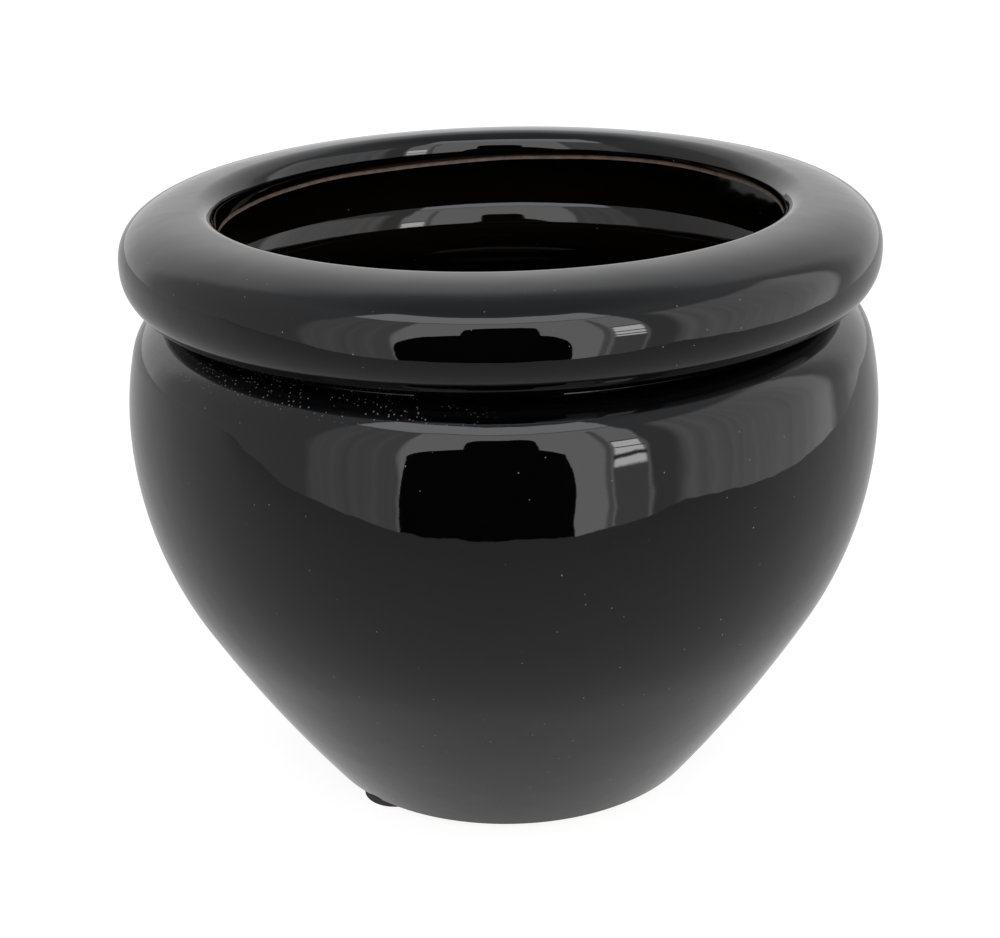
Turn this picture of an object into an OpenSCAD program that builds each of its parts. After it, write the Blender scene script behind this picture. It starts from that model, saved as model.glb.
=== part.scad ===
// Round black-glazed planter with a rolled rim, slip-cast in one shell.
// Millimetres. +Z is up, and the origin is on the pot's axis, at the surface it stands on.

/* [Belly] */
// Widest diameter of the belly
belly_d = 222.4; // [214:0.2:228]
// Height of the widest line above the foot
belly_h = 112; // [108:0.5:116]
// Radius of the belly's curve below its widest line
belly_curve = 113.5; // [105:0.5:122]
// Radius of the belly's curve above its widest line
upper_curve = 96; // [88:1:104]
// Angle below the widest line where the belly runs into the flare
flare_angle = 29.5; // [27:0.5:32]
// Radius of the nearly straight flare from the foot to the belly
flare_curve = 500; // [400:10:800]

/* [Shoulder and groove] */
// Angle above the widest line where the shoulder begins to turn in
shoulder_angle = 14; // [10:0.5:15]
// Radius of the shoulder
shoulder_curve = 15; // [12:0.5:17]
// Radius at the bottom of the groove under the rim
groove_curve = 0.4; // [0.3:0.1:1.5]

/* [Rolled rim] */
// Outside diameter of the rim
rim_d = 220; // [216:0.5:224]
// Clear diameter of the mouth
mouth_d = 164; // [160:0.2:168]
// Diameter of the circle along the top of the rim
crest_d = 176; // [174:0.2:178]
// Height of the rim's widest line above the foot
rim_h = 162; // [160:0.5:164]
// Height of the rim above its widest line
rim_top = 14.3; // [13:0.1:16]
// Depth of the rim below its widest line
rim_drop = 15.6; // [15:0.1:17]
// Height of the face inside the mouth, from the top of the rim to its trimmed edge
lip_face = 8.8; // [8.6:0.1:9.5]

/* [Wall and foot] */
// Thickness of the wall with its glaze
wall = 7.5; // [6.5:0.1:7.7]
// Thickness of the floor above the foot
floor_t = 9; // [7:0.5:12]
// Radius of the corner between the floor and the wall inside
floor_curve = 14; // [8:1:20]
// Radius of the rounded edge of the foot
foot_round = 2.5; // [1.5:0.1:3]
// Inside diameter of the flat foot ring
ring_d = 74; // [60:1:78]
// Depth of the recess inside the foot ring
recess = 2.5; // [1.5:0.1:4]

/* [Inside of the rim] */
// Inside diameter of the ridge behind the groove
ridge_d = 177; // [175:0.5:179]
// Depth of the ridge's innermost line below the rim's widest line
ridge_drop = 20.4; // [19.6:0.2:22]
// Radius of the ridge
ridge_curve = 15; // [13:0.5:17]
// Radius of the cove under the ridge
ridge_cove = 16; // [12:0.5:20]
// Slope of the wall above the ridge, from the vertical
back_angle = 41; // [38:1:44]
// Radius of the wall above the ridge
back_curve = 32; // [28:1:36]
// Radius of the corner under the top of the rim
hollow_curve = 3; // [2:0.2:4]

/* [Glaze] */
// Thickness of the glaze
glaze_t = 0.6; // [0.4:0.1:0.9]
// Width of the bare strip on each side of the trimmed edge
bare_strip = 1.2; // [0.8:0.1:2]

/* [Pads] */
// Diameter of a foot pad
pad_d = 20; // [18:0.5:20]
// Thickness of a foot pad
pad_t = 2.5; // [1.5:0.1:4]
// Diameter of the circle through the centres of the pads
pad_circle_d = 98.2; // [96:0.2:98.4]
// Direction of the first pad, from the X axis
pad_angle = 223.8; // [0:0.1:360]
// Thickness of the adhesive film on a pad
adhesive_t = 0.3; // [0.2:0.1:0.5]

/* [Hidden] */
$fn = 180;

// The profile is a list of points [r, z, nr, nz]: a place on the pot's half section,
// and the direction square to the surface there, pointing out of the pot.

ARC_STEP = 6;
PAD_EDGE = 0.5;
PAD_PITCH = 120;
ADHESIVE_D = pad_d - 2.4;
COVE = 2;
// Squareness of the roll's quarters: 2 is an ellipse
LOWER_SQUARE = 2.33;
UPPER_SQUARE = 2.42;
// Bare rim of the recess around the glaze under the base
RECESS_MARGIN = 1.5;

foot_z = pad_t + adhesive_t;
base_glaze_r = ring_d / 2 - COVE - RECESS_MARGIN;
crest_r = crest_d / 2;
rim_w = rim_d / 2 - crest_r;
lip_w = crest_r - mouth_d / 2;
rim_z = rim_h + rim_top;

function unit(v) = v / norm(v);
function polar(radius, a) = radius * [cos(a), sin(a)];
function place(p) = [p[0], p[1]];
function signed_pow(x, power) = sign(x) * pow(abs(x), power);

// Arc from angle a0 to a1 about c; side is 1 where the pot is inside the arc, -1 outside
function arc(c, radius, a0, a1, side = 1) =
    let (steps = max(2, ceil(abs(a1 - a0) * sqrt(radius) / (3 * ARC_STEP))))
    [for (i = [0:steps]) let (a = a0 + (a1 - a0) * i / steps)
        concat(c + polar(radius, a), side * polar(1, a))];

// The surface d deeper in the wall than the profile
function inset(path, d) = [for (p = path) concat(place(p) - d * [p[2], p[3]], [p[2], p[3]])];
function outline(path) = [for (p = path) place(p)];
function turned(path) = [for (i = [len(path) - 1:-1:0]) path[i]];

// The belly's three arcs, each touching the next
belly_c = [belly_d / 2 - belly_curve, belly_h];
upper_c = [belly_d / 2 - upper_curve, belly_h];
flare_c = belly_c + polar(belly_curve - flare_curve, -flare_angle);
shoulder_c = upper_c + polar(upper_curve - shoulder_curve, shoulder_angle);

// Centre of a corner of the given radius that rests on height z and touches the flare
function flare_corner(z, depth, radius) =
    [flare_c[0] + sqrt(pow(flare_curve - depth - radius, 2) - pow(z + radius - flare_c[1], 2)), z + radius];
function flare_turn(c) = atan2(c[1] - flare_c[1], c[0] - flare_c[0]);

foot_c = flare_corner(0, 0, foot_round);
floor_c = flare_corner(floor_t, wall, floor_curve);

// The outer side of the roll is made of quarters of superellipses about the crest circle
function roll(t) =
    let (high = t < 0 ? rim_drop : rim_top, square = t < 0 ? LOWER_SQUARE : UPPER_SQUARE,
        u = signed_pow(cos(t), 2 / square), v = signed_pow(sin(t), 2 / square))
    concat([crest_r + rim_w * u, rim_h + high * v],
        unit([signed_pow(u, square - 1) / rim_w, signed_pow(v, square - 1) / high]));
function rolled(t0, t1, steps) = [for (i = [0:steps]) roll(t0 + (t1 - t0) * i / steps)];

// The groove's arc touches the shoulder and the underside of the roll
function groove_at(t) = let (p = roll(t)) place(p) + groove_curve * [p[2], p[3]];
function groove_gap(t) = norm(groove_at(t) - shoulder_c) - shoulder_curve - groove_curve;
function find_groove(low, high, rounds) =
    let (middle = (low + high) / 2)
    rounds == 0 ? middle
    : groove_gap(middle) > 0 ? find_groove(low, middle, rounds - 1) : find_groove(middle, high, rounds - 1);

groove_t = find_groove(-89, 0, 40);
groove_c = groove_at(groove_t);
shoulder_end = atan2(groove_c[1] - shoulder_c[1], groove_c[0] - shoulder_c[0]);
under_roll = roll(groove_t);
groove_end = atan2(-under_roll[3], -under_roll[2]);

// Outside of the pot from the foot to the groove, and the roll up to a given angle
foot_edge = arc(foot_c, foot_round, -90, flare_turn(foot_c));
below_roll = concat(
    arc(flare_c, flare_curve, flare_turn(foot_c), -flare_angle),
    arc(belly_c, belly_curve, -flare_angle, 0),
    arc(upper_c, upper_curve, 0, shoulder_angle),
    arc(shoulder_c, shoulder_curve, shoulder_angle, shoulder_end),
    arc(groove_c, groove_curve, shoulder_end + 180, groove_end, -1));
// The face inside the mouth is round at the top, then upright down to its trimmed edge
function lip_at(depth) = [mouth_d / 2, rim_z - depth, -1, 0];
arris = place(lip_at(lip_face));
glazed_outside = concat(
    below_roll,
    rolled(groove_t, 90, 36),
    arc([crest_r, rim_z - lip_w], lip_w, 90, 180),
    [lip_at(lip_face - bare_strip)]);

// A point at the given distances from two centres, on the right of the way from one to the other
function meet(c1, r1, c2, r2) =
    let (v = c2 - c1, a = (r1 * r1 - r2 * r2 + v * v) / (2 * norm(v)), h = sqrt(r1 * r1 - a * a))
    c1 + a * unit(v) + h * unit([v[1], -v[0]]);
function bearing(from, to) = atan2(to[1] - from[1], to[0] - from[0]);

// Inside of the pot: the floor's corner, the wall one thickness deeper than the outside, the cove
// under the ridge, the ridge, the wall above it, and the ceiling of the rim
upper_inside = upper_curve - wall;
ridge_c = [ridge_d / 2 + ridge_curve, rim_h - ridge_drop];
cove_c = meet(upper_c, upper_inside - ridge_cove, ridge_c, ridge_curve + ridge_cove);
back_c = ridge_c - polar(ridge_curve + back_curve, -back_angle);
ceiling_z = rim_z - wall;
hollow_z = ceiling_z - hollow_curve;
hollow_c = [back_c[0] + sqrt(pow(back_curve - hollow_curve, 2) - pow(hollow_z - back_c[1], 2)), hollow_z];
ceiling = [crest_r, ceiling_z];
ceiling_up = unit([arris[1] - ceiling[1], ceiling[0] - arris[0]]);
ceiling_end = arris + bare_strip * unit(ceiling - arris);
cove_start = bearing(upper_c, cove_c);
cove_end = bearing(cove_c, ridge_c);
back_end = bearing(back_c, hollow_c);
glazed_inside = concat(
    arc(floor_c, floor_curve, -90, flare_turn(floor_c)),
    inset(arc(flare_c, flare_curve, flare_turn(floor_c), -flare_angle), wall),
    inset(arc(belly_c, belly_curve, -flare_angle, 0), wall),
    arc(upper_c, upper_inside, 0, cove_start),
    arc(cove_c, ridge_cove, cove_start, cove_end),
    arc(ridge_c, ridge_curve, cove_end + 180, 180 - back_angle, -1),
    arc(back_c, back_curve, -back_angle, back_end),
    arc(hollow_c, hollow_curve, back_end, 90),
    [concat(ceiling, [0, 1]), concat(ceiling_end, ceiling_up)]);

module turned_solid(points) {
    rotate_extrude()
        polygon(points);
}

module clay_body() {
    color("#5a4638")
        translate([0, 0, foot_z])
            turned_solid(concat(
                [[0, recess + glaze_t], [base_glaze_r, recess + glaze_t], [base_glaze_r, recess]],
                [[ring_d / 2 - COVE, recess], [ring_d / 2, 0]],
                outline(foot_edge),
                outline(inset(glazed_outside, glaze_t)),
                [arris, ceiling_end],
                outline(turned(inset(glazed_inside, -glaze_t))),
                [[0, floor_t - glaze_t]]));
}

module outer_glaze() {
    color("#0c0b0c")
        translate([0, 0, foot_z])
            turned_solid(concat(
                outline(glazed_outside),
                outline(turned(inset(glazed_outside, glaze_t)))));
}

module inner_glaze() {
    color("#15120f")
        translate([0, 0, foot_z])
            turned_solid(concat(
                [[0, floor_t - glaze_t]],
                outline(inset(glazed_inside, -glaze_t)),
                outline(turned(glazed_inside)),
                [[0, floor_t]]));
}

module base_glaze() {
    color("#0c0b0c")
        translate([0, 0, foot_z + recess])
            cylinder(r = base_glaze_r, h = glaze_t);
}

module at_pad(number) {
    rotate([0, 0, pad_angle + PAD_PITCH * (number - 1)])
        translate([pad_circle_d / 2, 0, 0])
            children();
}

module foot_pad(number) {
    edge_c = [pad_d / 2 - PAD_EDGE, PAD_EDGE];
    color("#2b2522")
        at_pad(number)
            turned_solid(concat(
                [[0, 0]],
                outline(arc(edge_c, PAD_EDGE, -90, 0)),
                [[pad_d / 2, pad_t], [0, pad_t]]));
}

module pad_adhesive(number) {
    color("#b8b4a8")
        at_pad(number)
            translate([0, 0, pad_t])
                cylinder(d = ADHESIVE_D, h = adhesive_t);
}

clay_body();
outer_glaze();
inner_glaze();
base_glaze();
foot_pad(1);  // foot_pad_1
foot_pad(2);  // foot_pad_2
foot_pad(3);  // foot_pad_3
pad_adhesive(1);  // pad_adhesive_1
pad_adhesive(2);  // pad_adhesive_2
pad_adhesive(3);  // pad_adhesive_3
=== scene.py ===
"""Looks of the black-glazed planter: turned skins, procedural glaze, clay and rubber, on a pale table."""
import math

import bmesh
import bpy
from mathutils import Matrix, Quaternion, Vector


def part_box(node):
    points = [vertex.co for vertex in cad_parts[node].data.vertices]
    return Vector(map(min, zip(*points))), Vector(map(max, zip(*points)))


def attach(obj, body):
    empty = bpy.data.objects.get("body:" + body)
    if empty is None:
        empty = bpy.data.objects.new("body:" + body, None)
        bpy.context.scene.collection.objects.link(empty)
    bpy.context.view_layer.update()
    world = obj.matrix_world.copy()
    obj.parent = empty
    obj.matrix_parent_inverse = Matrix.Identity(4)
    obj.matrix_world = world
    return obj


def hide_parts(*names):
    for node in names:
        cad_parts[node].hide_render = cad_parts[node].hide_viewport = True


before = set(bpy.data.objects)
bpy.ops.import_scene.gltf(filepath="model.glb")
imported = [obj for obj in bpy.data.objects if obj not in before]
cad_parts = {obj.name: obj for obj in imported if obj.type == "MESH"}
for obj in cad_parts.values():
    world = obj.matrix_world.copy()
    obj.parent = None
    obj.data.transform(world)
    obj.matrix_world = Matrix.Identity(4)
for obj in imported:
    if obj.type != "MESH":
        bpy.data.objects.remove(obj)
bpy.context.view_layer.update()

# ---------------------------------------------------------------- sizes, in metres
MM = 0.001
GLAZE_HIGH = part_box("outer_glaze")[1]
CLAY_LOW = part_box("clay_body")[0]
LINER_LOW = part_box("inner_glaze")[0]

# The outside: the flare over the foot, the belly, the shoulder, the groove and the rolled rim.
FOOT_Z = CLAY_LOW[2]                       # the foot stands on the pads and their glue
FOOT_ROUND = 2.5 * MM
FLARE_CURVE = 500 * MM
FLARE_ANGLE = 29.5                         # degrees below the widest line where the flare ends
BELLY_R = GLAZE_HIGH[0]
BELLY_Z = FOOT_Z + 112 * MM                # height of the belly's widest line
BELLY_CURVE = 113.5 * MM                   # below that line
UPPER_CURVE = 96 * MM                      # above it
SHOULDER_ANGLE = 14
SHOULDER_CURVE = 15 * MM
GROOVE_CURVE = 0.4 * MM
RIM_R = 110 * MM
CREST_R = 88 * MM                          # the highest circle of the rim
MOUTH_R = 82 * MM
TOP_Z = GLAZE_HIGH[2]
RIM_TOP = 14.3 * MM                        # from the rim's widest line up to its crest
RIM_DROP = 15.6 * MM                       # and down to its lower side
RIM_Z = TOP_Z - RIM_TOP                    # height of the rim's widest line
LOWER_SQUARE, UPPER_SQUARE = 2.33, 2.42    # exponents of the superellipses the roll is made of
LIP_FACE = 8.8 * MM                        # from the crest down to the trimmed edge in the mouth
BARE = 1.2 * MM                            # the strip without glaze on each side of that edge
GLAZE = 0.6 * MM                           # thickness of the glaze

# The inside: the floor, the wall, the ridge behind the groove and the hollow of the rim.
WALL = 7.5 * MM
FLOOR_Z = LINER_LOW[2] + GLAZE             # the floor's glazed surface
FLOOR_CURVE = 14 * MM
RIDGE_R = 88.5 * MM
RIDGE_Z = RIM_Z - 20.4 * MM
RIDGE_CURVE = 15 * MM
RIDGE_COVE = 16 * MM                       # the hollow curve under the ridge
BACK_ANGLE = 41                            # slope of the wall above the ridge, from the vertical
BACK_CURVE = 32 * MM
HOLLOW_CURVE = 3 * MM

# The foot's ring and the recess inside it.
RING_R = 37 * MM
RECESS = 2.5 * MM
COVE = 2 * MM
RECESS_MARGIN = 1.5 * MM                   # bare clay round the glaze in the recess

# The edge in the mouth was trimmed by hand, so it isn't level: it lies lowest at the left and
# highest at the right. The waves on it are (how many round the edge, height, shift in degrees).
TRIM_TILT = 1.7 * MM
TRIM_WAVES = [(3, 0.22 * MM, 40), (5, 0.15 * MM, 200), (9, 0.10 * MM, 75), (17, 0.05 * MM, 130)]
TRIM_FADE_Z = 3 * MM                       # how far below the crest the unevenness begins
TRIM_DEPTH = 12 * MM                       # and where it ends, below the edge

PAD_ROUND = 0.5 * MM                       # the rounded edge of a pad
GLUE_ROUND = 0.1 * MM                      # and of the glue on it

# How finely the curves are cut.
TURNS = 200                                # faces round the pot
PAD_TURNS = 96                             # and round a pad
ARC_STEP = 2.0                             # degrees between the points of a small arc
SHORTEST = 0.5 * MM                        # about the least distance between its points
LONGEST = 2.5 * MM                         # and the greatest
SAME_POINT = 0.02 * MM                     # points closer than this are one point
ROLL_STEPS = 90                            # round the roll
ROUND_STEPS = 6                            # round the edge of a pad
SHARP = 40                                 # degrees between faces that meet in a visible edge


# ---------------------------------------------------------------- the pot's half section
# A profile is a list of (r, z, nr, nz): a point and the direction square to the surface there,
# pointing out of the pot.

def polar(radius, angle):
    """The way that far in that direction, an angle in degrees."""
    return Vector((radius * math.cos(math.radians(angle)), radius * math.sin(math.radians(angle))))


def signed_pow(x, power):
    return math.copysign(abs(x) ** power, x)


def arc(centre, radius, start, end, side=1):
    """Points along an arc between two angles. Side is -1 where the pot is outside the arc."""
    length = abs(math.radians(end - start)) * radius
    fine = math.ceil(min(abs(end - start) / ARC_STEP, length / SHORTEST))
    steps = max(2, fine, math.ceil(length / LONGEST))
    points = []
    for i in range(steps + 1):
        angle = start + (end - start) * i / steps
        point, normal = centre + polar(radius, angle), side * polar(1, angle)
        points.append((point.x, point.y, normal.x, normal.y))
    return points


def roll(t):
    """A point of the roll's outer side, made of quarters of superellipses about the crest circle."""
    wide = RIM_R - CREST_R
    high, square = (RIM_DROP, LOWER_SQUARE) if t < 0 else (RIM_TOP, UPPER_SQUARE)
    unit = Vector((0, 1)) if t == 90 else polar(1, t)
    u, v = signed_pow(unit.x, 2 / square), signed_pow(unit.y, 2 / square)
    normal = Vector((signed_pow(u, square - 1) / wide, signed_pow(v, square - 1) / high)).normalized()
    return (CREST_R + wide * u, RIM_Z + high * v, normal.x, normal.y)


def rolled(start, end):
    """Points along the roll between two angles."""
    return [roll(start + (end - start) * i / ROLL_STEPS) for i in range(ROLL_STEPS + 1)]


def inset(path, depth):
    """The surface that lies that deep under the profile."""
    return [(r - depth * nr, z - depth * nz, nr, nz) for r, z, nr, nz in path]


belly_c = Vector((BELLY_R - BELLY_CURVE, BELLY_Z))
upper_c = Vector((BELLY_R - UPPER_CURVE, BELLY_Z))
flare_c = belly_c + polar(BELLY_CURVE - FLARE_CURVE, -FLARE_ANGLE)
shoulder_c = upper_c + polar(UPPER_CURVE - SHOULDER_CURVE, SHOULDER_ANGLE)


def flare_corner(z, depth, radius):
    """Centre of a corner that rests on height z and touches the flare."""
    reach = FLARE_CURVE - depth - radius
    return Vector((flare_c.x + math.sqrt(reach ** 2 - (z + radius - flare_c.y) ** 2), z + radius))


def flare_turn(centre):
    """The angle at which a corner with that centre touches the flare."""
    return math.degrees(math.atan2(centre.y - flare_c.y, centre.x - flare_c.x))


def groove_at(t):
    """Centre of the groove's small arc if it touches the roll at that angle."""
    r, z, nr, nz = roll(t)
    return Vector((r + GROOVE_CURVE * nr, z + GROOVE_CURVE * nz))


def find_groove():
    """The roll's angle where the groove's small arc touches both the roll and the shoulder."""
    low, high = -89.0, 0.0
    for _ in range(50):
        middle = (low + high) / 2
        if (groove_at(middle) - shoulder_c).length > SHOULDER_CURVE + GROOVE_CURVE:
            high = middle
        else:
            low = middle
    return (low + high) / 2


groove_t = find_groove()
groove_c = groove_at(groove_t)
shoulder_end = math.degrees(math.atan2(groove_c.y - shoulder_c.y, groove_c.x - shoulder_c.x))
under_roll = roll(groove_t)
groove_end = math.degrees(math.atan2(-under_roll[3], -under_roll[2]))
foot_c = flare_corner(FOOT_Z, 0, FOOT_ROUND)
floor_c = flare_corner(FLOOR_Z, WALL, FLOOR_CURVE)


def joined(*paths):
    """The paths end to end, without the points that repeat."""
    out = []
    for path in paths:
        for p in path:
            if not out or math.hypot(p[0] - out[-1][0], p[1] - out[-1][1]) > SAME_POINT:
                out.append(p)
    return out


def meet(c1, r1, c2, r2):
    """The point at the given distances from two centres, on the right of the way between them."""
    way = c2 - c1
    along = (r1 ** 2 - r2 ** 2 + way.length_squared) / (2 * way.length)
    across = math.sqrt(r1 ** 2 - along ** 2)
    return c1 + along * way.normalized() + across * Vector((way.y, -way.x)).normalized()


def bearing(start, end):
    """The angle of the way from one point to another."""
    return math.degrees(math.atan2(end.y - start.y, end.x - start.x))


LIP_CURVE = CREST_R - MOUTH_R              # radius of the rounding at the top of the face in the mouth
foot_edge = arc(foot_c, FOOT_ROUND, -90, flare_turn(foot_c))
outside = joined(
    arc(flare_c, FLARE_CURVE, flare_turn(foot_c), -FLARE_ANGLE),
    arc(belly_c, BELLY_CURVE, -FLARE_ANGLE, 0),
    arc(upper_c, UPPER_CURVE, 0, SHOULDER_ANGLE),
    arc(shoulder_c, SHOULDER_CURVE, SHOULDER_ANGLE, shoulder_end),
    arc(groove_c, GROOVE_CURVE, shoulder_end + 180, groove_end, -1),
    rolled(groove_t, 90),
    arc(Vector((CREST_R, TOP_Z - LIP_CURVE)), LIP_CURVE, 90, 180),
    [(MOUTH_R, TOP_Z - LIP_FACE + BARE, -1, 0)])
arris = Vector((MOUTH_R, TOP_Z - LIP_FACE))

# The inside: the floor's corner, the wall one thickness deeper than the outside, the cove under the
# ridge, the ridge behind the groove, the wall above it, and the ceiling of the rim.
ridge_c = Vector((RIDGE_R + RIDGE_CURVE, RIDGE_Z))
cove_c = meet(upper_c, UPPER_CURVE - WALL - RIDGE_COVE, ridge_c, RIDGE_CURVE + RIDGE_COVE)
back_c = ridge_c - polar(RIDGE_CURVE + BACK_CURVE, -BACK_ANGLE)
ceiling = Vector((CREST_R, TOP_Z - WALL))
hollow_z = ceiling.y - HOLLOW_CURVE
hollow_reach = math.sqrt((BACK_CURVE - HOLLOW_CURVE) ** 2 - (hollow_z - back_c.y) ** 2)
hollow_c = Vector((back_c.x + hollow_reach, hollow_z))
ceiling_end = arris + BARE * (ceiling - arris).normalized()
ceiling_up = Vector((arris.y - ceiling.y, ceiling.x - arris.x)).normalized()
inside = joined(
    arc(floor_c, FLOOR_CURVE, -90, flare_turn(floor_c)),
    inset(arc(flare_c, FLARE_CURVE, flare_turn(floor_c), -FLARE_ANGLE), WALL),
    inset(arc(belly_c, BELLY_CURVE, -FLARE_ANGLE, 0), WALL),
    arc(upper_c, UPPER_CURVE - WALL, 0, bearing(upper_c, cove_c)),
    arc(cove_c, RIDGE_COVE, bearing(upper_c, cove_c), bearing(cove_c, ridge_c)),
    arc(ridge_c, RIDGE_CURVE, bearing(cove_c, ridge_c) + 180, 180 - BACK_ANGLE, -1),
    arc(back_c, BACK_CURVE, -BACK_ANGLE, bearing(back_c, hollow_c)),
    arc(hollow_c, HOLLOW_CURVE, bearing(back_c, hollow_c), 90),
    [(ceiling.x, ceiling.y, 0, 1), (ceiling_end.x, ceiling_end.y, ceiling_up.x, ceiling_up.y)])


# ---------------------------------------------------------------- meshes

def lathe(name, points, turns=TURNS, wobble=None):
    """A closed solid turned about the Z axis. Points on the axis become poles, and a wobble moves
    the points of a ring one by one."""
    bm = bmesh.new()
    rings = []
    for r, z in points:
        if r == 0:
            rings.append([bm.verts.new((0, 0, z))])
            continue
        ring = []
        for k in range(turns):
            angle = 2 * math.pi * k / turns
            point_r, point_z = wobble(r, z, angle) if wobble else (r, z)
            ring.append(bm.verts.new((point_r * math.cos(angle), point_r * math.sin(angle), point_z)))
        rings.append(ring)
    is_loop = len(rings[0]) > 1
    following = rings[1:] + rings[:1] if is_loop else rings[1:]
    for low, high in zip(rings, following):
        for k in range(turns):
            j = (k + 1) % turns
            if len(low) == 1:
                bm.faces.new((low[0], high[j], high[k]))
            elif len(high) == 1:
                bm.faces.new((low[k], low[j], high[0]))
            else:
                bm.faces.new((low[k], low[j], high[j], high[k]))
    bmesh.ops.recalc_face_normals(bm, faces=bm.faces)
    mesh = bpy.data.meshes.new(name)
    bm.to_mesh(mesh)
    bm.free()
    for face in mesh.polygons:
        face.use_smooth = True
    mesh.set_sharp_from_angle(angle=math.radians(SHARP))
    piece = bpy.data.objects.new(name, mesh)
    bpy.context.scene.collection.objects.link(piece)
    return piece


def places(path):
    """The points of a profile without their directions."""
    return [(p[0], p[1]) for p in path]


def dress(piece, material, slot, *nodes):
    """Every piece rides on the one body, stands for its CAD nodes and has its material."""
    piece.data.materials.append(material)
    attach(piece, "root")
    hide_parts(*nodes)


# ---------------------------------------------------------------- materials
# Colours are linear.

SPECK_CORE = 0.4                           # how much of a speck is solid, before it fades out


def new_material(name):
    material = bpy.data.materials.new(name)
    material.use_nodes = True
    return material, material.node_tree, material.node_tree.nodes["Principled BSDF"]


def add(tree, kind, inputs=(), **settings):
    """A new node, with its inputs linked or set to a value."""
    node = tree.nodes.new(kind)
    for key, value in settings.items():
        setattr(node, key, value)
    for key, value in dict(inputs).items():
        if isinstance(value, bpy.types.NodeSocket):
            tree.links.new(value, node.inputs[key])
        else:
            node.inputs[key].default_value = value
    return node


def ramp(tree, value, stops):
    node = add(tree, "ShaderNodeValToRGB", {"Fac": value})
    marks = node.color_ramp.elements
    while len(marks) < len(stops):
        marks.new(0.5)
    for mark, (position, colour) in zip(marks, stops):
        mark.position = position
        mark.color = (*colour, 1)
    return node.outputs["Color"]


def rescaled(tree, value, start, end):
    """0 before start and 1 after end, or the other way round where end is below start."""
    return add(tree, "ShaderNodeMapRange", {"Value": value, "From Min": start, "From Max": end},
               interpolation_type="SMOOTHSTEP").outputs["Result"]


def times(tree, *values):
    product = values[0]
    for value in values[1:]:
        product = add(tree, "ShaderNodeMath", {0: product, 1: value}, operation="MULTIPLY").outputs[0]
    return product


def specks(tree, place, scale, size, share, turn=(0, 0, 0), stretch=1.0):
    """Mask of small spots, or of short streaks where they are stretched. There are so many cells in
    a metre, the size is a part of a cell, and the share is the part of the cells that have a spot."""
    spot = add(tree, "ShaderNodeMapping", {"Vector": place, "Rotation": turn, "Scale": (1, 1, 1 / stretch)})
    cells = add(tree, "ShaderNodeTexVoronoi", {"Vector": spot.outputs["Vector"], "Scale": scale}).outputs
    chosen = add(tree, "ShaderNodeSeparateColor", {"Color": cells["Color"]}).outputs["Red"]
    return times(tree, rescaled(tree, cells["Distance"], size, SPECK_CORE * size),
                 rescaled(tree, chosen, 1 - share, 1 - share + 0.001))


def noise(tree, place, scale, detail):
    inputs = {"Vector": place, "Scale": scale, "Detail": detail}
    return add(tree, "ShaderNodeTexNoise", inputs).outputs["Fac"]


def bumped(tree, height, strength, distance, under=None):
    """The surface's direction with small heights on it, over the bumps that are there already."""
    inputs = {"Height": height, "Strength": strength, "Distance": distance}
    if under is not None:
        inputs["Normal"] = under
    return add(tree, "ShaderNodeBump", inputs).outputs["Normal"]


def blend(tree, mask, under, over):
    """The colour under with the colour over it where the mask is 1."""
    mix = add(tree, "ShaderNodeMix", {"Factor": mask}, data_type="RGBA")
    for socket, colour in (("A", under), ("B", over)):
        target = next(i for i in mix.inputs if i.name == socket and i.type == "RGBA")
        if isinstance(colour, bpy.types.NodeSocket):
            tree.links.new(colour, target)
        else:
            target.default_value = (*colour, 1)
    return next(o for o in mix.outputs if o.type == "RGBA")


# Dust and lint lie all over the glaze, and dust is thicker in a stretch of the groove at the left
# of the front.
DUST = (0.16, 0.16, 0.155)
DUST_COVER = 0.7                           # how much of the glaze's colour a speck hides
DUST_ROUGHNESS = 0.7
GRIT_TOWARDS = (-0.6, -0.8, 0)
GRIT_BEGINS, GRIT_FULL = 80 * MM, 98 * MM  # how far out in that direction
GRIT_REACH, GRIT_END = 102 * MM, 108 * MM  # and how far from the axis
THIN_BROWN = (0.014, 0.008, 0.005)         # black glaze where it thins out


def joined_masks(tree, masks):
    """The greatest of the masks at each place."""
    greatest = masks[0]
    for mask in masks[1:]:
        greatest = add(tree, "ShaderNodeMath", {0: greatest, 1: mask}, operation="MAXIMUM").outputs[0]
    return greatest


def thin_strip(tree, axes, reach):
    """Mask of the strip just above the trimmed edge in the mouth."""
    level = add(tree, "ShaderNodeMath", {0: axes["X"], 1: -TRIM_TILT / MOUTH_R, 2: axes["Z"]},
                operation="MULTIPLY_ADD").outputs[0]
    edge_z = TOP_Z - LIP_FACE + BARE
    return times(tree, rescaled(tree, level, edge_z + 0.9 * MM, edge_z - 0.3 * MM),
                 rescaled(tree, axes["Z"], edge_z - 8 * MM, edge_z - 6 * MM),          # not the belly
                 rescaled(tree, reach, MOUTH_R + 2 * MM, MOUTH_R + 1 * MM))            # nor the roll


def groove_stretch(tree, flat_place, axes, reach):
    """Mask of the stretch of the groove that holds more dust."""
    out = add(tree, "ShaderNodeVectorMath", {0: flat_place, 1: GRIT_TOWARDS}, operation="DOT_PRODUCT")
    return times(tree, rescaled(tree, out.outputs["Value"], GRIT_BEGINS, GRIT_FULL),
                 rescaled(tree, reach, GRIT_END, GRIT_REACH),
                 rescaled(tree, axes["Z"], groove_c.y - 7 * MM, groove_c.y - 4 * MM),  # not the belly
                 rescaled(tree, axes["Z"], groove_c.y + 3 * MM, groove_c.y + 1 * MM))  # nor the roll


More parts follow.
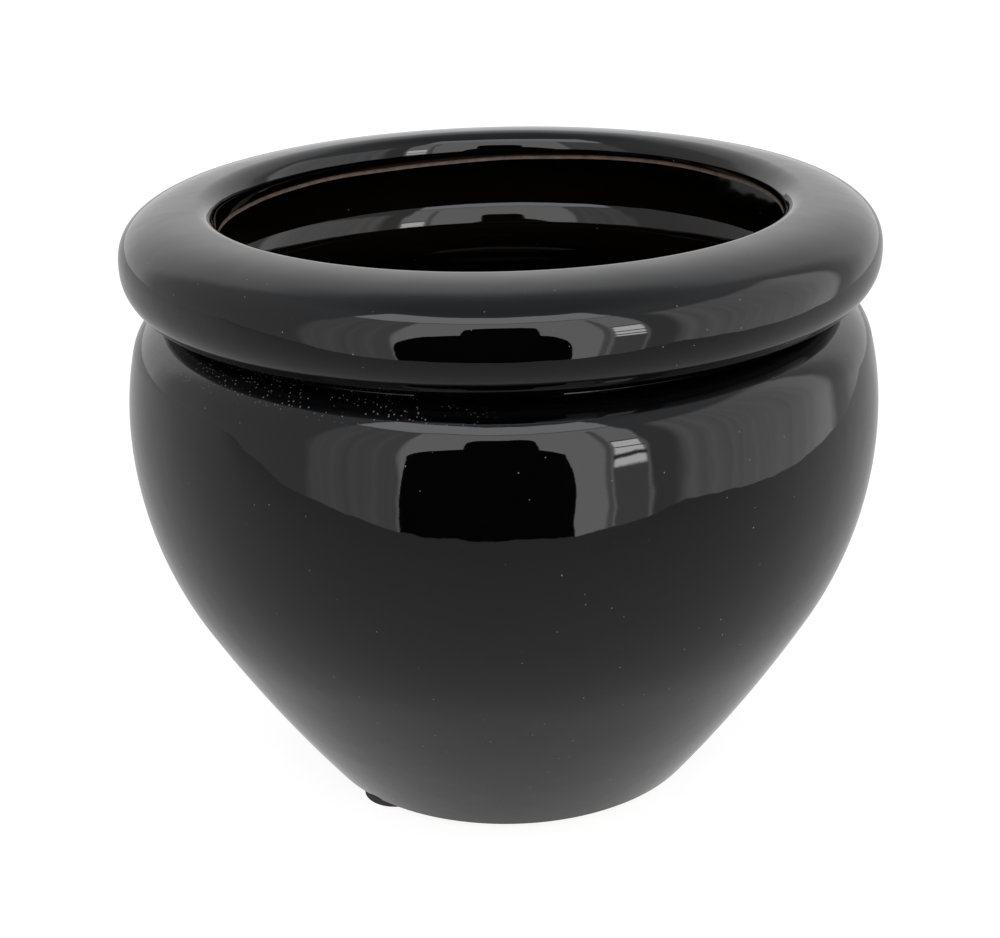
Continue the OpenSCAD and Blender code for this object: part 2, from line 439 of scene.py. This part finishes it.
def glaze_material(name, base, roughness, dust, thin_edge):
    """Gloss glaze with a slightly wavy skin and dust on it. Dust is the share of places with a
    speck. Glaze with a thin edge breaks brown along the trimmed edge in the mouth."""
    material, tree, shader = new_material(name)
    place = add(tree, "ShaderNodeNewGeometry").outputs["Position"]
    axes = add(tree, "ShaderNodeSeparateXYZ", {"Vector": place}).outputs
    flat_place = add(tree, "ShaderNodeCombineXYZ", {"X": axes["X"], "Y": axes["Y"]}).outputs["Vector"]
    reach = add(tree, "ShaderNodeVectorMath", {0: flat_place}, operation="LENGTH").outputs["Value"]

    broad = noise(tree, place, 14.0, 3.0)
    tint = ramp(tree, broad, [(0.35, base), (0.7, tuple(1.5 * c for c in base))])
    if thin_edge:
        tint = blend(tree, thin_strip(tree, axes, reach), tint, THIN_BROWN)

    grit = specks(tree, place, 1000.0, 0.30, 0.50)
    dirt = joined_masks(tree, [
        specks(tree, place, 300.0, 0.07, dust),
        specks(tree, place, 140.0, 0.04, 0.6 * dust),
        specks(tree, place, 330.0, 0.06, 0.06 * dust, (0.5, 0.9, 0.2), 14.0),
        specks(tree, place, 330.0, 0.06, 0.06 * dust, (-0.8, 0.3, 0.4), 20.0),
        times(tree, groove_stretch(tree, flat_place, axes, reach), grit)])
    colour = blend(tree, times(tree, dirt, DUST_COVER), tint, DUST)
    tree.links.new(colour, shader.inputs["Base Color"])
    gloss = add(tree, "ShaderNodeMapRange", {"Value": dirt, "To Min": roughness, "To Max": DUST_ROUGHNESS})
    tree.links.new(gloss.outputs["Result"], shader.inputs["Roughness"])

    skin = bumped(tree, broad, 0.02, 2 * MM)
    skin = bumped(tree, noise(tree, place, 50.0, 2.0), 0.5, 0.4 * MM, skin)
    skin = bumped(tree, noise(tree, place, 900.0, 2.0), 0.006, 0.3 * MM, skin)
    tree.links.new(skin, shader.inputs["Normal"])
    shader.inputs["IOR"].default_value = 1.5
    return material


def clay_material():
    material, tree, shader = new_material("fired_clay")
    place = add(tree, "ShaderNodeNewGeometry").outputs["Position"]
    grain = noise(tree, place, 400.0, 5.0)
    tint = ramp(tree, grain, [(0.3, (0.034, 0.021, 0.013)), (0.7, (0.095, 0.058, 0.036))])
    tree.links.new(tint, shader.inputs["Base Color"])
    tree.links.new(bumped(tree, grain, 0.3, 0.3 * MM), shader.inputs["Normal"])
    shader.inputs["Roughness"].default_value = 0.6
    return material


def pad_material():
    material, tree, shader = new_material("pad_rubber")
    place = add(tree, "ShaderNodeNewGeometry").outputs["Position"]
    grain = noise(tree, place, 1500.0, 4.0)
    tint = ramp(tree, grain, [(0.3, (0.010, 0.008, 0.007)), (0.7, (0.028, 0.022, 0.018))])
    tree.links.new(tint, shader.inputs["Base Color"])
    tree.links.new(bumped(tree, grain, 0.5, 0.3 * MM), shader.inputs["Normal"])
    shader.inputs["Roughness"].default_value = 0.85
    return material


def glue_material():
    material, tree, shader = new_material("pad_glue")
    place = add(tree, "ShaderNodeNewGeometry").outputs["Position"]
    grain = noise(tree, place, 700.0, 2.0)
    tint = ramp(tree, grain, [(0.3, (0.30, 0.28, 0.23)), (0.7, (0.42, 0.40, 0.34))])
    tree.links.new(tint, shader.inputs["Base Color"])
    shader.inputs["Roughness"].default_value = 0.5
    return material


# ---------------------------------------------------------------- pieces

def trimmed(r, z, angle):
    """Lowers or lifts the points near the edge in the mouth."""
    depth = TOP_Z - z
    if r > CREST_R or depth > TRIM_DEPTH:
        return r, z
    weight = min(1, max(0, (depth - TRIM_FADE_Z) / (LIP_FACE - BARE - TRIM_FADE_Z)))
    weight *= min(1, (CREST_R - r) / (CREST_R - MOUTH_R - GLAZE))
    waves = sum(size * math.cos(count * angle + math.radians(shift)) for count, size, shift in TRIM_WAVES)
    return r, z - weight * (waves - TRIM_TILT * math.cos(angle))


black_glaze = glaze_material("black_glaze", (0.0006, 0.0005, 0.0005), 0.03, 0.40, True)
liner_glaze = glaze_material("liner_glaze", (0.0016, 0.0011, 0.0008), 0.05, 0.20, False)
fired_clay = clay_material()
rubber = pad_material()
glue = glue_material()

outer = lathe("outer_glaze_skin", places(outside) + places(inset(outside, GLAZE))[::-1], wobble=trimmed)
dress(outer, black_glaze, "black_glaze", "outer_glaze")

liner = lathe("inner_glaze_skin",
              [(0, FLOOR_Z - GLAZE)] + places(inset(inside, -GLAZE))
              + places(inside)[::-1] + [(0, FLOOR_Z)], wobble=trimmed)
dress(liner, liner_glaze, "liner_glaze", "inner_glaze")

recess_z = FOOT_Z + RECESS
base_r = RING_R - COVE - RECESS_MARGIN
body = lathe("cast_clay_body",
             [(0, recess_z + GLAZE), (base_r, recess_z + GLAZE), (base_r, recess_z),
              (RING_R - COVE, recess_z), (RING_R, FOOT_Z)]
             + places(foot_edge) + places(inset(outside, GLAZE))
             + [tuple(arris), tuple(ceiling_end)]
             + places(inset(inside, -GLAZE))[::-1] + [(0, FLOOR_Z - GLAZE)], wobble=trimmed)
dress(body, fired_clay, "fired_clay", "clay_body")

base = lathe("base_glaze_disc",
             [(0, recess_z), (base_r, recess_z), (base_r, recess_z + GLAZE), (0, recess_z + GLAZE)])
dress(base, black_glaze, "black_glaze", "base_glaze")


def pad_piece(name, node, rounding, material, slot):
    """A disc with rounded edges in the place of a CAD node."""
    low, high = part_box(node)
    radius = (high[0] - low[0]) / 2
    edge = []
    for i in range(ROUND_STEPS + 1):
        turn = math.pi / 2 * i / ROUND_STEPS
        edge.append((radius - rounding * (1 - math.sin(turn)), low[2] + rounding * (1 - math.cos(turn))))
    top = [(r, high[2] + low[2] - z) for r, z in reversed(edge)]
    piece = lathe(name, [(0, low[2])] + edge + top + [(0, high[2])], turns=PAD_TURNS)
    piece.data.transform(Matrix.Translation(((low[0] + high[0]) / 2, (low[1] + high[1]) / 2, 0)))
    dress(piece, material, slot, node)


for number in (1, 2, 3):
    pad_piece(f"rubber_pad_{number}", f"foot_pad_{number}", PAD_ROUND, rubber, "pad_rubber")
    pad_piece(f"glue_film_{number}", f"pad_adhesive_{number}", GLUE_ROUND, glue, "pad_glue")


# ---------------------------------------------------------------- table, backdrop, light

def staged(name, mesh, material):
    """A piece of the studio."""
    mesh.materials.append(material)
    piece = bpy.data.objects.new(name, mesh)
    bpy.context.scene.collection.objects.link(piece)
    return piece


def flat(name, corners, material):
    """A piece of the studio with one flat face."""
    mesh = bpy.data.meshes.new(name)
    mesh.from_pydata(corners, [], [range(len(corners))])
    return staged(name, mesh, material)


def only_seen_by(piece, camera=False, glossy=False):
    """Hides a piece from every kind of ray but those named."""
    piece.visible_camera = camera
    piece.visible_glossy = glossy
    piece.visible_diffuse = piece.visible_transmission = piece.visible_shadow = False


def sheet_material(name, albedo, glow):
    """A matte sheet that glows a little by itself, so that shadows on it stay soft. The glow is a number,
    or pairs of a place along the Y axis and the glow there, which paint shade that fades along Y."""
    material, tree, shader = new_material(name)
    place = add(tree, "ShaderNodeNewGeometry").outputs["Position"]
    grain = noise(tree, place, 60.0, 3.0)
    tint = ramp(tree, grain, [(0.3, (0.95 * albedo,) * 3), (0.7, (1.05 * albedo,) * 3)])
    tree.links.new(tint, shader.inputs["Base Color"])
    shader.inputs["Roughness"].default_value = 0.9
    shader.inputs["Specular IOR Level"].default_value = 0.0
    shader.inputs["Emission Color"].default_value = (1, 1, 1, 1)
    if isinstance(glow, float):
        shader.inputs["Emission Strength"].default_value = glow
    else:
        # Painted shade: the glow fades from the dim level to the bright one along Y.
        along = add(tree, "ShaderNodeSeparateXYZ", {"Vector": place}).outputs["Y"]
        (start, dim), (end, bright) = glow
        levels = {"Value": along, "From Min": start, "From Max": end, "To Min": dim, "To Max": bright}
        fade = add(tree, "ShaderNodeMapRange", levels, interpolation_type="SMOOTHSTEP")
        tree.links.new(fade.outputs["Result"], shader.inputs["Emission Strength"])
    return material


def card_material():
    material, tree, shader = new_material("black_card")
    weave = add(tree, "ShaderNodeTexNoise", {"Scale": 80.0}).outputs["Fac"]
    tint = ramp(tree, weave, [(0.3, (0.001, 0.001, 0.001)), (0.7, (0.003, 0.003, 0.003))])
    tree.links.new(tint, shader.inputs["Base Color"])
    shader.inputs["Specular IOR Level"].default_value = 0.0
    return material


# The camera sees a white sheet and a white backdrop. The glaze reflects a greyer table instead,
# which ends a little in front of the pot, and the room beyond it. The table's right side slants. The
# table's light is painted as a glow, with painted shade towards its front.
# Places and lengths are in metres.
SHEET_REACH = 4.0
BACKDROP_HEIGHT = 4.0
BACKDROP_FOOT = -0.01
TABLE_Z = -0.5 * MM
TABLE_FRONT = -0.41
TABLE_RIGHT = [(0.45, TABLE_FRONT), (0.60, 0.1), (1.4, SHEET_REACH)]
# Painted shade on the table: its glow is dimmer at the front edge and brighter near the pot.
TABLE_GLOW_PAINTED_SHADE = [(TABLE_FRONT, 0.31), (0.0, 0.47)]

square_corners = [(-SHEET_REACH, -SHEET_REACH), (SHEET_REACH, -SHEET_REACH),
                  (SHEET_REACH, SHEET_REACH), (-SHEET_REACH, SHEET_REACH)]
sheet = flat("white_sheet", [(x, y, 0) for x, y in square_corners],
             sheet_material("white_sheet", 0.2, 0.88))
sheet.visible_glossy = False

table = [(-SHEET_REACH, TABLE_FRONT)] + TABLE_RIGHT + [(-SHEET_REACH, SHEET_REACH)]
board = flat("table_board", [(x, y, TABLE_Z) for x, y in table],
             sheet_material("table_board", 0.1, TABLE_GLOW_PAINTED_SHADE))
only_seen_by(board, glossy=True)

walls = [(k, (k + 1) % 4, (k + 1) % 4 + 4, k + 4) for k in range(4)]
top_face = (4, 5, 6, 7)
backdrop_mesh = bpy.data.meshes.new("backdrop")
backdrop_mesh.from_pydata([(x, y, z) for z in (BACKDROP_FOOT, BACKDROP_HEIGHT) for x, y in square_corners],
                          [], walls + [top_face])
backdrop = staged("backdrop", backdrop_mesh, sheet_material("backdrop", 0.2, 1.0))
only_seen_by(backdrop, camera=True)

# A black card with round shoulders stands where the camera is, and darkens the middle of the
# reflections. A narrower one stands on it.
CARD_Y = -0.62
SHOULDER_STEP = 5                          # degrees
black_card = card_material()


def card(name, middle, half_width, bottom, shoulders, top, square):
    """A flat card whose outline above the shoulders is the upper half of a superellipse."""
    outline = [(middle + half_width, CARD_Y, bottom)]
    for degrees in range(0, 181, SHOULDER_STEP):
        unit = polar(1, degrees)
        outline.append((middle + half_width * signed_pow(unit.x, 2 / square), CARD_Y,
                        shoulders + (top - shoulders) * abs(unit.y) ** (2 / square)))
    outline.append((middle - half_width, CARD_Y, bottom))
    only_seen_by(flat(name, outline, black_card), glossy=True)


card("low_card", middle=-0.065, half_width=0.265, bottom=-0.5, shoulders=0.0, top=0.37, square=2.4)
card("high_card", middle=-0.014, half_width=0.113, bottom=0.20, shoulders=0.45, top=0.57, square=4.0)

# The room is the world's own light, by direction: azimuth from the front towards +X, and elevation,
# in degrees. Each wall or window is a patch with soft edges and a level of light of its own.
world = bpy.data.worlds.new("studio")
world.use_nodes = True
sky = world.node_tree
ray = add(sky, "ShaderNodeTexCoord").outputs["Generated"]
direction = add(sky, "ShaderNodeSeparateXYZ", {"Vector": ray}).outputs


def maths(operation, *values):
    return add(sky, "ShaderNodeMath", dict(enumerate(values)), operation=operation).outputs[0]


TO_DEGREES = 180 / math.pi
forwards = maths("MULTIPLY", direction["Y"], -1.0)
azimuth = maths("MULTIPLY", maths("ARCTAN2", direction["X"], forwards), TO_DEGREES)
elevation = maths("MULTIPLY", maths("ARCSINE", direction["Z"]), TO_DEGREES)
around = maths("ABSOLUTE", azimuth)
FOLDS_PER_DEGREE = 0.25
FOLD_LIGHT = 0.5
along_folds = maths("MULTIPLY", azimuth, FOLDS_PER_DEGREE)
folds = add(sky, "ShaderNodeTexNoise", {"W": along_folds, "Scale": 1.0, "Detail": 2.0},
            noise_dimensions="1D").outputs["Fac"]


def folded(level):
    """A level of light that varies as it does on cloth in folds."""
    return maths("ADD", level, maths("MULTIPLY", folds, FOLD_LIGHT))


def patch(light, level, across, up, soft, turn=azimuth):
    """The light with a patch of another level over it, between two azimuths and two elevations."""
    (left, right), (low, high) = across, up
    mask = times(sky, rescaled(sky, turn, left - soft, left + soft),
                 rescaled(sky, turn, right + soft, right - soft),
                 rescaled(sky, elevation, low - soft, low + soft),
                 rescaled(sky, elevation, high + soft, high - soft))
    return maths("ADD", light, maths("MULTIPLY", mask, maths("SUBTRACT", level, light)))


DOWN = -60                                 # well below the table's edge
HEAD = 49.5                                # the top of the curtain and of the window
PANE = (31, 41)
BAR_HEIGHTS = (3.5, 10)                    # dark bars across the pane
BAR_HALF = 0.8                             # half the width of a bar

overhead = {"Value": elevation, "From Min": 55.0, "From Max": 75.0, "To Min": 0.62, "To Max": 0.40}
light = add(sky, "ShaderNodeMapRange", overhead).outputs["Result"]
light = patch(light, 1.0, (125, 200), (DOWN, 56), 8.0, around)              # the wall behind
light = patch(light, folded(1.1), (51, 112), (DOWN, 44), 2.5)               # a screen on the right
light = patch(light, 1.55, (101, 112), (DOWN, 40), 3.0)                     # and its lit edge
light = patch(light, folded(0.75), (-58, -31), (DOWN, HEAD), 2.0)           # a curtain on the left
light = patch(light, 2.4, (-31, 41.5), (DOWN, HEAD), 1.0)                   # the window in front
light = patch(light, 1.2, (28.5, 30.5), (DOWN, 46), 0.6)                    # its frame
light = patch(light, 0.9, PANE, (DOWN, 23), 0.6)                            # a pane
light = patch(light, 8.0, (31.5, 40.5), (0, 21), 0.6)                       # the sky through it
for height in BAR_HEIGHTS:
    light = patch(light, 0.4, PANE, (height - BAR_HALF, height + BAR_HALF), 0.5)
light = patch(light, 3.0, (-58, 41), (50.5, 66), 1.0)                       # the light above the window
sky.links.new(light, sky.nodes["Background"].inputs["Strength"])

# The light from above the window is a little cooler.
cool = ramp(sky, rescaled(sky, elevation, 48, 51), [(0, (1, 1, 1)), (1, (0.96, 1.0, 1.05))])
sky.links.new(cool, sky.nodes["Background"].inputs["Color"])
bpy.context.scene.world = world

# ---------------------------------------------------------------- camera

CAMERA_DISTANCE = 5.0 * RIM_R              # from the centre of the rim
CAMERA_RISE = 14.55                        # its height above the rim's plane, in degrees
AIM_RIGHT = 0.163                          # how far it is turned away from the rim's centre, in degrees
AIM_UP = -7.048                            # and upwards
LEAN = 1.35                                # and how far it leans to the side
LENS = 67.13                               # the lens and the width of the sensor, in millimetres
SENSOR = 36

camera_data = bpy.data.cameras.new("photo_view")
camera_data.lens = LENS
camera_data.sensor_width = SENSOR
camera = bpy.data.objects.new("photo_view", camera_data)
bpy.context.scene.collection.objects.link(camera)


def turned(vector, axis, degrees):
    return Quaternion(axis.normalized(), math.radians(degrees)) @ vector


rise = math.radians(CAMERA_RISE)
offset = CAMERA_DISTANCE * Vector((0, -math.cos(rise), math.sin(rise)))
forward = -offset.normalized()
right = Vector((1, 0, 0))
up = right.cross(forward)
forward, right = turned(forward, up, AIM_RIGHT), turned(right, up, AIM_RIGHT)
forward, up = turned(forward, right, AIM_UP), turned(up, right, AIM_UP)
right, up = turned(right, forward, LEAN), turned(up, forward, LEAN)
camera.matrix_world = Matrix((
    (right.x, up.x, -forward.x, offset.x),
    (right.y, up.y, -forward.y, offset.y),
    (right.z, up.z, -forward.z, offset.z + RIM_Z),
    (0, 0, 0, 1)))
bpy.context.scene.camera = camera
bpy.context.scene.view_settings.view_transform = "Standard"
